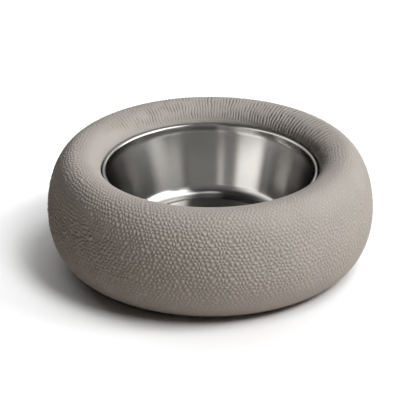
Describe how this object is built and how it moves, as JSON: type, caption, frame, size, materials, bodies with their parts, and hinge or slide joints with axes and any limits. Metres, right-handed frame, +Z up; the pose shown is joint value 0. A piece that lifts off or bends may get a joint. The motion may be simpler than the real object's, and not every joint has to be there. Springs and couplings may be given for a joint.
{
  "type": "elevated pet feeder",
  "caption": "Low round pet feeder: a puffy, pebble-grained ring base that stands on rubber feet and holds a drop-in steel bowl by its rolled rim.",
  "frame": {"origin": "on the floor, at the middle of the ring of feet, on the axis of the bowl", "axes": "+Z up along the axis of the bowl and the ring; the part looks the same from every side, so +X and -Y are only the right and the front of the picture"},
  "size_m": [0.24, 0.24, 0.083],
  "materials": {
    "cover_grained": "matte warm grey elastomer with a moulded pebble grain",
    "bowl_steel": "stainless steel, brushed round the axis",
    "frame_plastic": "plain moulded, dark grey",
    "plate_plastic": "fine moulded texture, dark warm grey",
    "seat_silicone": "matte silicone, near black",
    "foot_rubber": "matte black rubber",
    "screw_steel": "zinc-plated steel"
  },
  "bodies": {
    "base": {"body_cover": "cover_grained", "well_frame": "frame_plastic", "base_plate": "plate_plastic", "base_screw_1": "screw_steel", "base_screw_2": "screw_steel", "base_screw_3": "screw_steel", "base_screw_4": "screw_steel", "base_screw_5": "screw_steel", "base_screw_6": "screw_steel", "foot_1": "foot_rubber", "foot_2": "foot_rubber", "foot_3": "foot_rubber", "foot_4": "foot_rubber", "foot_5": "foot_rubber", "foot_6": "foot_rubber"},
    "seat": {"seat_ring": "seat_silicone"},
    "bowl": {"bowl": "bowl_steel"}
  },
  "joints": [
    {"name": "bowl_turn", "type": "hinge", "parent": "base", "child": "seat", "pos_m": [0, 0, 0.0655], "axis": [0, 0, 1], "continuous": true},
    {"name": "bowl_lift", "type": "slide", "parent": "seat", "child": "bowl", "axis": [0, 0, 1], "range_m": [0, 0.08]}
  ]
}
